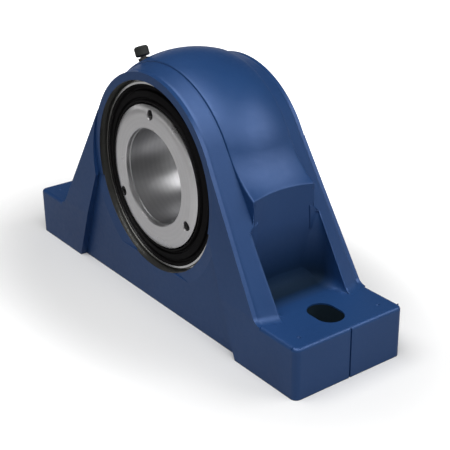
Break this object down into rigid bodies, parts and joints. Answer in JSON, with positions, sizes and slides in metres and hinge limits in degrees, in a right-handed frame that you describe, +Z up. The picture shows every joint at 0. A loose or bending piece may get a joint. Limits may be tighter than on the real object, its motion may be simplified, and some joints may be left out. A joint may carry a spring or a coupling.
{
  "type": "pillow block bearing",
  "caption": "Cast pillow block with two slotted feet, holding a self-aligning roller bearing with seals and a locking collar.",
  "frame": {"origin": "centre of the base's resting face", "axes": "+X along the base, +Y along the shaft to the rear, +Z up from the base"},
  "size_m": [0.3, 0.084, 0.1661],
  "materials": {
    "blue_paint": "semi-gloss blue paint over a cast surface, bare turned faces in the bore",
    "ring_steel": "ground bearing steel",
    "cage_brass": "machined brass",
    "guide_brass": "sintered bronze",
    "roller_steel": "polished bearing steel",
    "snap_steel": "black phosphated spring steel",
    "case_steel": "bright pressed steel",
    "seal_rubber": "black moulded rubber",
    "sleeve_steel": "fine turned steel",
    "collar_steel": "turned steel face with circular tool marks",
    "screw_steel": "black oxide steel",
    "fitting_steel": "zinc plated steel",
    "ball_steel": "polished steel",
    "spring_steel": "spring wire",
    "cap_plastic": "dark grey moulded plastic"
  },
  "bodies": {
    "housing_group": {"housing": "blue_paint", "outer_ring": "ring_steel", "snap_ring_front": "snap_steel", "snap_ring_rear": "snap_steel", "seal_case_front": "case_steel", "seal_case_rear": "case_steel", "seal_front": "seal_rubber", "seal_rear": "seal_rubber", "grease_fitting": "fitting_steel", "fitting_spring": "spring_steel"},
    "aligning_ring": {"guide_ring": "guide_brass"},
    "shaft_group": {"inner_ring": "ring_steel", "sleeve": "sleeve_steel", "locking_collar": "collar_steel", "set_screw_1": "screw_steel", "set_screw_2": "screw_steel", "set_screw_3": "screw_steel"},
    "front_cage": {"cage_front": "cage_brass"},
    "rear_cage": {"cage_rear": "cage_brass"},
    "grease_ball": {"fitting_ball": "ball_steel"},
    "grease_cap": {"fitting_cap": "cap_plastic"},
    "front_roller_01": {"roller_front_01": "roller_steel"},
    "front_roller_02": {"roller_front_02": "roller_steel"},
    "front_roller_03": {"roller_front_03": "roller_steel"},
    "front_roller_04": {"roller_front_04": "roller_steel"},
    "front_roller_05": {"roller_front_05": "roller_steel"},
    "front_roller_06": {"roller_front_06": "roller_steel"},
    "front_roller_07": {"roller_front_07": "roller_steel"},
    "front_roller_08": {"roller_front_08": "roller_steel"},
    "front_roller_09": {"roller_front_09": "roller_steel"},
    "front_roller_10": {"roller_front_10": "roller_steel"},
    "front_roller_11": {"roller_front_11": "roller_steel"},
    "front_roller_12": {"roller_front_12": "roller_steel"},
    "front_roller_13": {"roller_front_13": "roller_steel"},
    "front_roller_14": {"roller_front_14": "roller_steel"},
    "front_roller_15": {"roller_front_15": "roller_steel"},
    "front_roller_16": {"roller_front_16": "roller_steel"},
    "rear_roller_01": {"roller_rear_01": "roller_steel"},
    "rear_roller_02": {"roller_rear_02": "roller_steel"},
    "rear_roller_03": {"roller_rear_03": "roller_steel"},
    "rear_roller_04": {"roller_rear_04": "roller_steel"},
    "rear_roller_05": {"roller_rear_05": "roller_steel"},
    "rear_roller_06": {"roller_rear_06": "roller_steel"},
    "rear_roller_07": {"roller_rear_07": "roller_steel"},
    "rear_roller_08": {"roller_rear_08": "roller_steel"},
    "rear_roller_09": {"roller_rear_09": "roller_steel"},
    "rear_roller_10": {"roller_rear_10": "roller_steel"},
    "rear_roller_11": {"roller_rear_11": "roller_steel"},
    "rear_roller_12": {"roller_rear_12": "roller_steel"},
    "rear_roller_13": {"roller_rear_13": "roller_steel"},
    "rear_roller_14": {"roller_rear_14": "roller_steel"},
    "rear_roller_15": {"roller_rear_15": "roller_steel"},
    "rear_roller_16": {"roller_rear_16": "roller_steel"}
  },
  "joints": [
    {"name": "self_align", "type": "hinge", "parent": "housing_group", "child": "aligning_ring", "pos_m": [0, 0, 0.089], "axis": [1, 0, 0], "range_deg": [-1.5, 1.5]},
    {"name": "shaft_spin", "type": "hinge", "parent": "aligning_ring", "child": "shaft_group", "pos_m": [0, 0, 0.089], "axis": [0, 1, 0], "continuous": true},
    {"name": "front_cage_turn", "type": "hinge", "parent": "aligning_ring", "child": "front_cage", "pos_m": [0, 0, 0.089], "axis": [0, 1, 0], "continuous": true},
    {"name": "rear_cage_turn", "type": "hinge", "parent": "aligning_ring", "child": "rear_cage", "pos_m": [0, 0, 0.089], "axis": [0, 1, 0], "continuous": true},
    {"name": "ball_slide", "type": "slide", "parent": "housing_group", "child": "grease_ball", "axis": [0.4226, 0, -0.9063], "range_m": [0, 0.0005], "stiffness_N_per_m": 200, "deforming": ["fitting_spring"]},
    {"name": "cap_pull", "type": "slide", "parent": "housing_group", "child": "grease_cap", "axis": [-0.4226, 0, 0.9063], "range_m": [0, 0.015]},
    {"name": "front_roller_01_spin", "type": "hinge", "parent": "front_cage", "child": "front_roller_01", "pos_m": [0.0473, -0.00738, 0.07959], "axis": [0.1484, 0.9885, -0.0295], "continuous": true},
    {"name": "front_roller_02_spin", "type": "hinge", "parent": "front_cage", "child": "front_roller_02", "pos_m": [0.0401, -0.00738, 0.06221], "axis": [0.1258, 0.9885, -0.084], "continuous": true},
    {"name": "front_roller_03_spin", "type": "hinge", "parent": "front_cage", "child": "front_roller_03", "pos_m": [0.02679, -0.00738, 0.0489], "axis": [0.084, 0.9885, -0.1258], "continuous": true},
    {"name": "front_roller_04_spin", "type": "hinge", "parent": "front_cage", "child": "front_roller_04", "pos_m": [0.00941, -0.00738, 0.0417], "axis": [0.0295, 0.9885, -0.1484], "continuous": true},
    {"name": "front_roller_05_spin", "type": "hinge", "parent": "front_cage", "child": "front_roller_05", "pos_m": [-0.00941, -0.00738, 0.0417], "axis": [-0.0295, 0.9885, -0.1484], "continuous": true},
    {"name": "front_roller_06_spin", "type": "hinge", "parent": "front_cage", "child": "front_roller_06", "pos_m": [-0.02679, -0.00738, 0.0489], "axis": [-0.084, 0.9885, -0.1258], "continuous": true},
    {"name": "front_roller_07_spin", "type": "hinge", "parent": "front_cage", "child": "front_roller_07", "pos_m": [-0.0401, -0.00738, 0.06221], "axis": [-0.1258, 0.9885, -0.084], "continuous": true},
    {"name": "front_roller_08_spin", "type": "hinge", "parent": "front_cage", "child": "front_roller_08", "pos_m": [-0.0473, -0.00738, 0.07959], "axis": [-0.1484, 0.9885, -0.0295], "continuous": true},
    {"name": "front_roller_09_spin", "type": "hinge", "parent": "front_cage", "child": "front_roller_09", "pos_m": [-0.0473, -0.00738, 0.09841], "axis": [-0.1484, 0.9885, 0.0295], "continuous": true},
    {"name": "front_roller_10_spin", "type": "hinge", "parent": "front_cage", "child": "front_roller_10", "pos_m": [-0.0401, -0.00738, 0.11579], "axis": [-0.1258, 0.9885, 0.084], "continuous": true},
    {"name": "front_roller_11_spin", "type": "hinge", "parent": "front_cage", "child": "front_roller_11", "pos_m": [-0.02679, -0.00738, 0.1291], "axis": [-0.084, 0.9885, 0.1258], "continuous": true},
    {"name": "front_roller_12_spin", "type": "hinge", "parent": "front_cage", "child": "front_roller_12", "pos_m": [-0.00941, -0.00738, 0.1363], "axis": [-0.0295, 0.9885, 0.1484], "continuous": true},
    {"name": "front_roller_13_spin", "type": "hinge", "parent": "front_cage", "child": "front_roller_13", "pos_m": [0.00941, -0.00738, 0.1363], "axis": [0.0295, 0.9885, 0.1484], "continuous": true},
    {"name": "front_roller_14_spin", "type": "hinge", "parent": "front_cage", "child": "front_roller_14", "pos_m": [0.02679, -0.00738, 0.1291], "axis": [0.084, 0.9885, 0.1258], "continuous": true},
    {"name": "front_roller_15_spin", "type": "hinge", "parent": "front_cage", "child": "front_roller_15", "pos_m": [0.0401, -0.00738, 0.11579], "axis": [0.1258, 0.9885, 0.084], "continuous": true},
    {"name": "front_roller_16_spin", "type": "hinge", "parent": "front_cage", "child": "front_roller_16", "pos_m": [0.0473, -0.00738, 0.09841], "axis": [0.1484, 0.9885, 0.0295], "continuous": true},
    {"name": "rear_roller_01_spin", "type": "hinge", "parent": "rear_cage", "child": "rear_roller_01", "pos_m": [0.04823, 0.00738, 0.089], "axis": [-0.1513, 0.9885, 0], "continuous": true},
    {"name": "rear_roller_02_spin", "type": "hinge", "parent": "rear_cage", "child": "rear_roller_02", "pos_m": [0.04456, 0.00738, 0.07054], "axis": [-0.1397, 0.9885, 0.0579], "continuous": true},
    {"name": "rear_roller_03_spin", "type": "hinge", "parent": "rear_cage", "child": "rear_roller_03", "pos_m": [0.0341, 0.00738, 0.0549], "axis": [-0.107, 0.9885, 0.107], "continuous": true},
    {"name": "rear_roller_04_spin", "type": "hinge", "parent": "rear_cage", "child": "rear_roller_04", "pos_m": [0.01846, 0.00738, 0.04444], "axis": [-0.0579, 0.9885, 0.1397], "continuous": true},
    {"name": "rear_roller_05_spin", "type": "hinge", "parent": "rear_cage", "child": "rear_roller_05", "pos_m": [0, 0.00738, 0.04077], "axis": [0, 0.9885, 0.1513], "continuous": true},
    {"name": "rear_roller_06_spin", "type": "hinge", "parent": "rear_cage", "child": "rear_roller_06", "pos_m": [-0.01846, 0.00738, 0.04444], "axis": [0.0579, 0.9885, 0.1397], "continuous": true},
    {"name": "rear_roller_07_spin", "type": "hinge", "parent": "rear_cage", "child": "rear_roller_07", "pos_m": [-0.0341, 0.00738, 0.0549], "axis": [0.107, 0.9885, 0.107], "continuous": true},
    {"name": "rear_roller_08_spin", "type": "hinge", "parent": "rear_cage", "child": "rear_roller_08", "pos_m": [-0.04456, 0.00738, 0.07054], "axis": [0.1397, 0.9885, 0.0579], "continuous": true},
    {"name": "rear_roller_09_spin", "type": "hinge", "parent": "rear_cage", "child": "rear_roller_09", "pos_m": [-0.04823, 0.00738, 0.089], "axis": [0.1513, 0.9885, 0], "continuous": true},
    {"name": "rear_roller_10_spin", "type": "hinge", "parent": "rear_cage", "child": "rear_roller_10", "pos_m": [-0.04456, 0.00738, 0.10746], "axis": [0.1397, 0.9885, -0.0579], "continuous": true},
    {"name": "rear_roller_11_spin", "type": "hinge", "parent": "rear_cage", "child": "rear_roller_11", "pos_m": [-0.0341, 0.00738, 0.1231], "axis": [0.107, 0.9885, -0.107], "continuous": true},
    {"name": "rear_roller_12_spin", "type": "hinge", "parent": "rear_cage", "child": "rear_roller_12", "pos_m": [-0.01846, 0.00738, 0.13356], "axis": [0.0579, 0.9885, -0.1397], "continuous": true},
    {"name": "rear_roller_13_spin", "type": "hinge", "parent": "rear_cage", "child": "rear_roller_13", "pos_m": [0, 0.00738, 0.13723], "axis": [0, 0.9885, -0.1513], "continuous": true},
    {"name": "rear_roller_14_spin", "type": "hinge", "parent": "rear_cage", "child": "rear_roller_14", "pos_m": [0.01846, 0.00738, 0.13356], "axis": [-0.0579, 0.9885, -0.1397], "continuous": true},
    {"name": "rear_roller_15_spin", "type": "hinge", "parent": "rear_cage", "child": "rear_roller_15", "pos_m": [0.0341, 0.00738, 0.1231], "axis": [-0.107, 0.9885, -0.107], "continuous": true},
    {"name": "rear_roller_16_spin", "type": "hinge", "parent": "rear_cage", "child": "rear_roller_16", "pos_m": [0.04456, 0.00738, 0.10746], "axis": [-0.1397, 0.9885, -0.0579], "continuous": true}
  ],
  "couplings": [
    {"joint": "front_cage_turn", "follows": "shaft_spin", "ratio": 0.4257},
    {"joint": "rear_cage_turn", "follows": "shaft_spin", "ratio": 0.4257},
    {"joint": "front_roller_01_spin", "follows": "shaft_spin", "ratio": -3.2527},
    {"joint": "front_roller_02_spin", "follows": "shaft_spin", "ratio": -3.2527},
    {"joint": "front_roller_03_spin", "follows": "shaft_spin", "ratio": -3.2527},
    {"joint": "front_roller_04_spin", "follows": "shaft_spin", "ratio": -3.2527},
    {"joint": "front_roller_05_spin", "follows": "shaft_spin", "ratio": -3.2527},
    {"joint": "front_roller_06_spin", "follows": "shaft_spin", "ratio": -3.2527},
    {"joint": "front_roller_07_spin", "follows": "shaft_spin", "ratio": -3.2527},
    {"joint": "front_roller_08_spin", "follows": "shaft_spin", "ratio": -3.2527},
    {"joint": "front_roller_09_spin", "follows": "shaft_spin", "ratio": -3.2527},
    {"joint": "front_roller_10_spin", "follows": "shaft_spin", "ratio": -3.2527},
    {"joint": "front_roller_11_spin", "follows": "shaft_spin", "ratio": -3.2527},
    {"joint": "front_roller_12_spin", "follows": "shaft_spin", "ratio": -3.2527},
    {"joint": "front_roller_13_spin", "follows": "shaft_spin", "ratio": -3.2527},
    {"joint": "front_roller_14_spin", "follows": "shaft_spin", "ratio": -3.2527},
    {"joint": "front_roller_15_spin", "follows": "shaft_spin", "ratio": -3.2527},
    {"joint": "front_roller_16_spin", "follows": "shaft_spin", "ratio": -3.2527},
    {"joint": "rear_roller_01_spin", "follows": "shaft_spin", "ratio": -3.2527},
    {"joint": "rear_roller_02_spin", "follows": "shaft_spin", "ratio": -3.2527},
    {"joint": "rear_roller_03_spin", "follows": "shaft_spin", "ratio": -3.2527},
    {"joint": "rear_roller_04_spin", "follows": "shaft_spin", "ratio": -3.2527},
    {"joint": "rear_roller_05_spin", "follows": "shaft_spin", "ratio": -3.2527},
    {"joint": "rear_roller_06_spin", "follows": "shaft_spin", "ratio": -3.2527},
    {"joint": "rear_roller_07_spin", "follows": "shaft_spin", "ratio": -3.2527},
    {"joint": "rear_roller_08_spin", "follows": "shaft_spin", "ratio": -3.2527},
    {"joint": "rear_roller_09_spin", "follows": "shaft_spin", "ratio": -3.2527},
    {"joint": "rear_roller_10_spin", "follows": "shaft_spin", "ratio": -3.2527},
    {"joint": "rear_roller_11_spin", "follows": "shaft_spin", "ratio": -3.2527},
    {"joint": "rear_roller_12_spin", "follows": "shaft_spin", "ratio": -3.2527},
    {"joint": "rear_roller_13_spin", "follows": "shaft_spin", "ratio": -3.2527},
    {"joint": "rear_roller_14_spin", "follows": "shaft_spin", "ratio": -3.2527},
    {"joint": "rear_roller_15_spin", "follows": "shaft_spin", "ratio": -3.2527},
    {"joint": "rear_roller_16_spin", "follows": "shaft_spin", "ratio": -3.2527}
  ]
}
